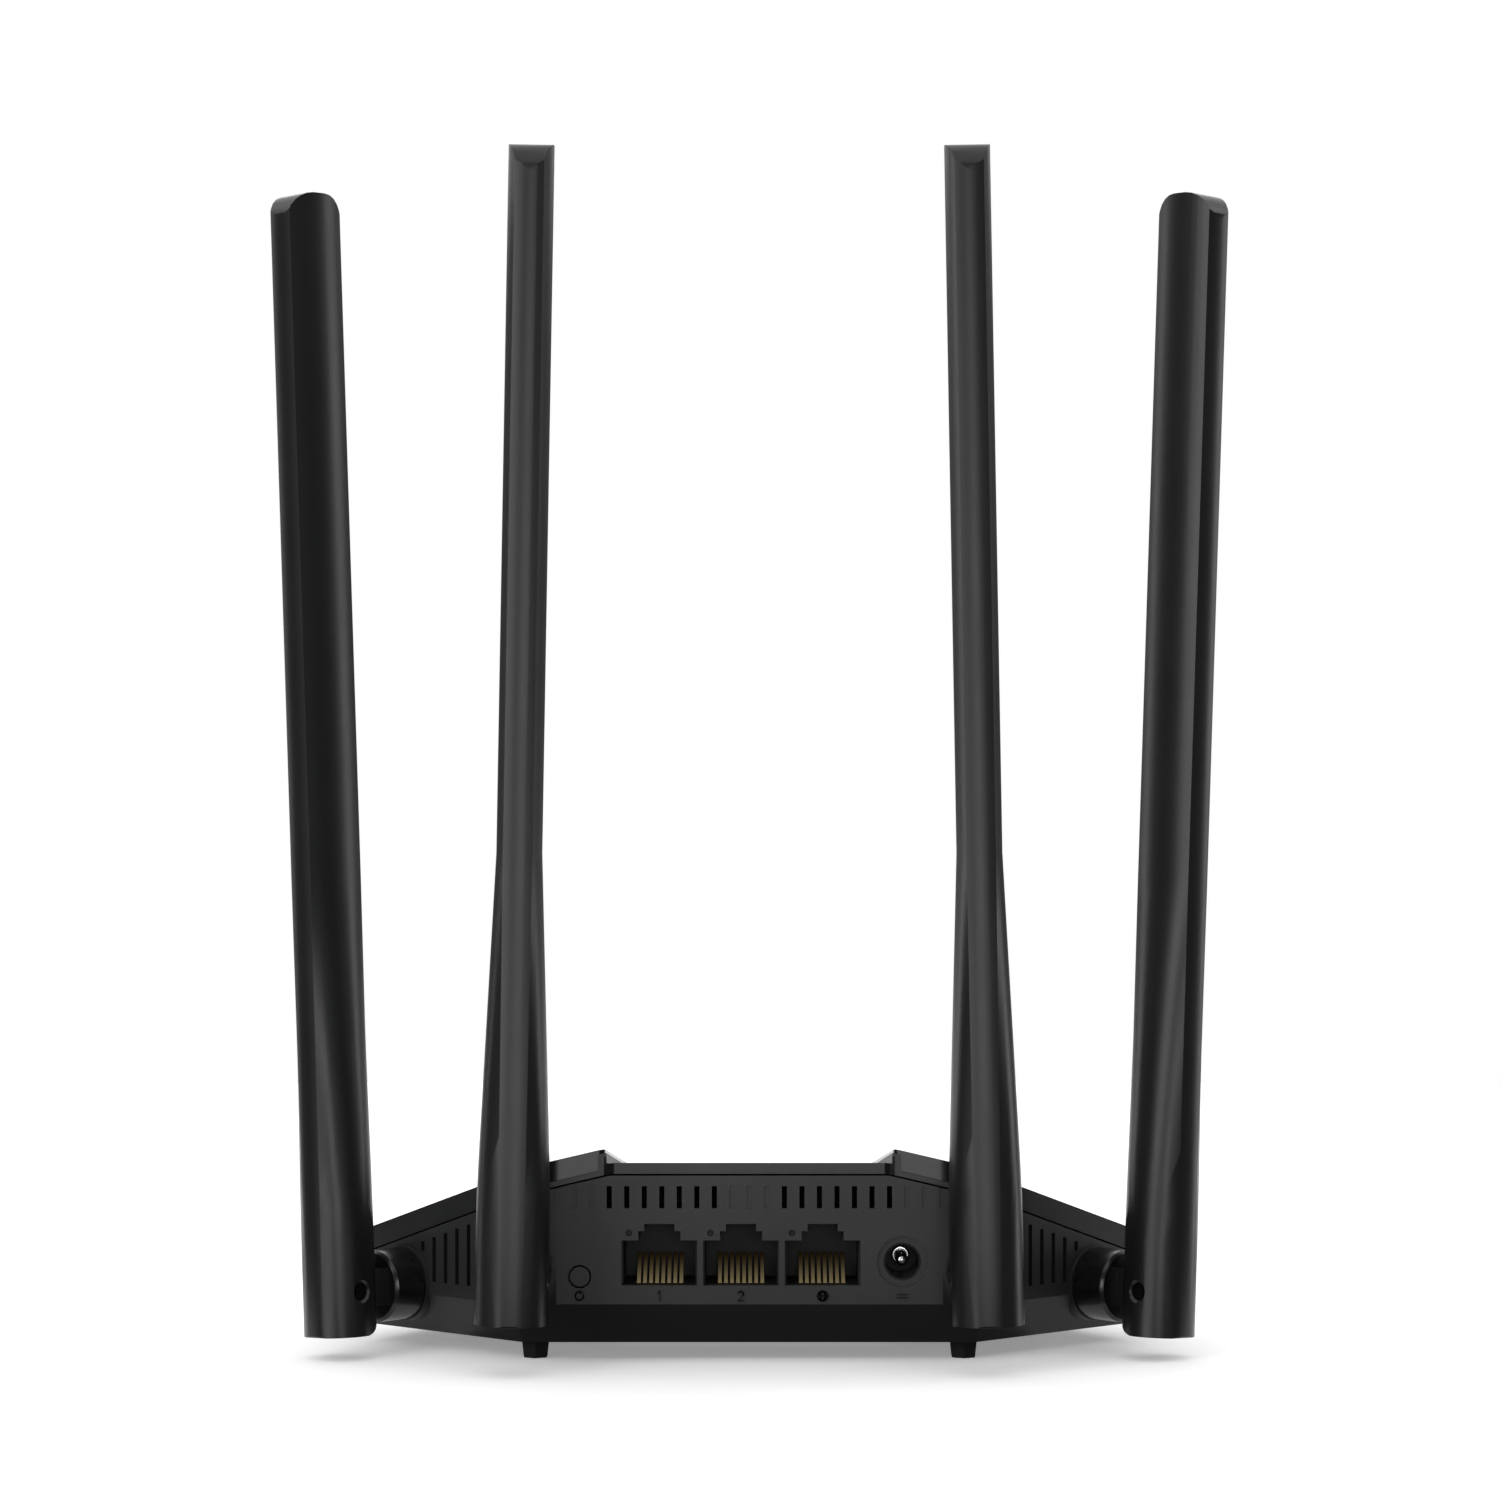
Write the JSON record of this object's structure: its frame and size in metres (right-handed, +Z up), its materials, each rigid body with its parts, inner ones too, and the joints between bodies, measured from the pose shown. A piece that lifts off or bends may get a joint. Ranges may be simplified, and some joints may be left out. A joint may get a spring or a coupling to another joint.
{
  "type": "wireless router",
  "caption": "Low faceted desktop wireless router with a winged top, network ports and power inlet at the rear, and tall folding blade antennas on swivels.",
  "frame": {"origin": "on the surface the feet stand on, under the middle of the whole object with its antennas up", "axes": "+X to the right seen from the port side, +Y from the port side towards the front edge, +Z up"},
  "size_m": [0.1618, 0.1069, 0.201],
  "materials": {
    "housing_plastic": "fine spark-textured black ABS",
    "floor_plastic": "fine spark-textured black ABS",
    "cover_plastic": "satin black ABS",
    "wing_gloss": "high-gloss black ABS",
    "foot_rubber": "matt black rubber",
    "screw_steel": "zinc plated steel",
    "label_blank": "blank silver-grey polyester",
    "board_laminate": "green solder mask",
    "chip_epoxy": "black epoxy",
    "spreader_aluminium": "bare extruded",
    "shield_tinplate": "bright tinplate",
    "transformer_epoxy": "black moulded epoxy",
    "inductor_ferrite": "dark ferrite",
    "capacitor_sleeve": "blue sleeve",
    "led_body": "white LED package",
    "light_pipe_acrylic": "clear acrylic, frosted end",
    "jack_plastic": "black PBT",
    "contact_gold": "gold plated",
    "lamp_lens": "smoked lens",
    "inlet_plastic": "black PBT",
    "inlet_nickel": "nickel plated",
    "button_plastic": "fine spark-textured black ABS",
    "switch_plastic": "black nylon",
    "plunger_plastic": "white nylon",
    "swivel_plastic": "satin black PC/ABS",
    "antenna_plastic": "satin black TPE/ABS",
    "hinge_pin_steel": "blackened steel",
    "radiator_copper": "copper on laminate",
    "lead_jacket": "grey FEP jacket"
  },
  "bodies": {
    "case": {"bottom_case": "floor_plastic", "main_housing": "housing_plastic", "top_cover": "cover_plastic", "wing_panel_left": "wing_gloss", "wing_panel_right": "wing_gloss", "foot_rear_left": "foot_rubber", "foot_rear_right": "foot_rubber", "foot_front_left": "foot_rubber", "foot_front_right": "foot_rubber", "case_screws": "screw_steel", "blank_label": "label_blank", "main_board": "board_laminate", "router_chip": "chip_epoxy", "heat_spreader": "spreader_aluminium", "memory_chip": "chip_epoxy", "flash_chip": "chip_epoxy", "radio_shields": "shield_tinplate", "network_transformers": "transformer_epoxy", "power_inductor": "inductor_ferrite", "filter_capacitors": "capacitor_sleeve", "status_leds": "led_body", "status_light_pipes": "light_pipe_acrylic", "lan_port_1": "jack_plastic", "lan_port_2": "jack_plastic", "wan_port": "jack_plastic", "lan_port_1_contacts": "contact_gold", "lan_port_2_contacts": "contact_gold", "wan_port_contacts": "contact_gold", "port_lamps": "lamp_lens", "power_inlet": "inlet_plastic", "power_inlet_pin": "inlet_nickel", "power_inlet_spring": "inlet_nickel", "reset_switch": "switch_plastic", "outer_left_lead": "lead_jacket", "inner_left_lead": "lead_jacket", "inner_right_lead": "lead_jacket", "outer_right_lead": "lead_jacket"},
    "reset_key": {"reset_button": "button_plastic", "reset_plunger": "plunger_plastic"},
    "outer_left_base": {"outer_left_swivel": "swivel_plastic"},
    "outer_left_mast": {"outer_left_antenna": "antenna_plastic", "outer_left_hinge_pin": "hinge_pin_steel", "outer_left_radiator": "radiator_copper"},
    "inner_left_base": {"inner_left_swivel": "swivel_plastic"},
    "inner_left_mast": {"inner_left_antenna": "antenna_plastic", "inner_left_hinge_pin": "hinge_pin_steel", "inner_left_radiator": "radiator_copper"},
    "inner_right_base": {"inner_right_swivel": "swivel_plastic"},
    "inner_right_mast": {"inner_right_antenna": "antenna_plastic", "inner_right_hinge_pin": "hinge_pin_steel", "inner_right_radiator": "radiator_copper"},
    "outer_right_base": {"outer_right_swivel": "swivel_plastic"},
    "outer_right_mast": {"outer_right_antenna": "antenna_plastic", "outer_right_hinge_pin": "hinge_pin_steel", "outer_right_radiator": "radiator_copper"}
  },
  "joints": [
    {"name": "reset_press", "type": "slide", "parent": "case", "child": "reset_key", "axis": [0, 1, 0], "range_m": [0, 0.0005], "stiffness_N_per_m": 600, "springref_m": -0.0008},
    {"name": "outer_left_turn", "type": "hinge", "parent": "case", "child": "outer_left_base", "pos_m": [-0.05897, -0.01454, 0.0113], "axis": [0.6772, 0.7358, 0], "range_deg": [-87, 8]},
    {"name": "outer_left_fold", "type": "hinge", "parent": "outer_left_base", "child": "outer_left_mast", "pos_m": [-0.0692, -0.02565, 0.0113], "axis": [0.735, -0.6764, 0.0471], "range_deg": [0, 90]},
    {"name": "inner_left_turn", "type": "hinge", "parent": "case", "child": "inner_left_base", "pos_m": [-0.0388, -0.03255, 0.0159], "axis": [0, 1, 0], "range_deg": [-90, 20]},
    {"name": "inner_left_fold", "type": "hinge", "parent": "inner_left_base", "child": "inner_left_mast", "pos_m": [-0.0388, -0.04765, 0.0159], "axis": [0.9998, 0, -0.0175], "range_deg": [0, 90]},
    {"name": "inner_right_turn", "type": "hinge", "parent": "case", "child": "inner_right_base", "pos_m": [0.0388, -0.03255, 0.0159], "axis": [0, 1, 0], "range_deg": [-20, 90]},
    {"name": "inner_right_fold", "type": "hinge", "parent": "inner_right_base", "child": "inner_right_mast", "pos_m": [0.0388, -0.04765, 0.0159], "axis": [0.9998, 0, 0.0175], "range_deg": [0, 90]},
    {"name": "outer_right_turn", "type": "hinge", "parent": "case", "child": "outer_right_base", "pos_m": [0.05897, -0.01454, 0.0113], "axis": [-0.6772, 0.7358, 0], "range_deg": [-8, 87]},
    {"name": "outer_right_fold", "type": "hinge", "parent": "outer_right_base", "child": "outer_right_mast", "pos_m": [0.0692, -0.02565, 0.0113], "axis": [0.735, 0.6764, -0.0471], "range_deg": [0, 90]}
  ]
}
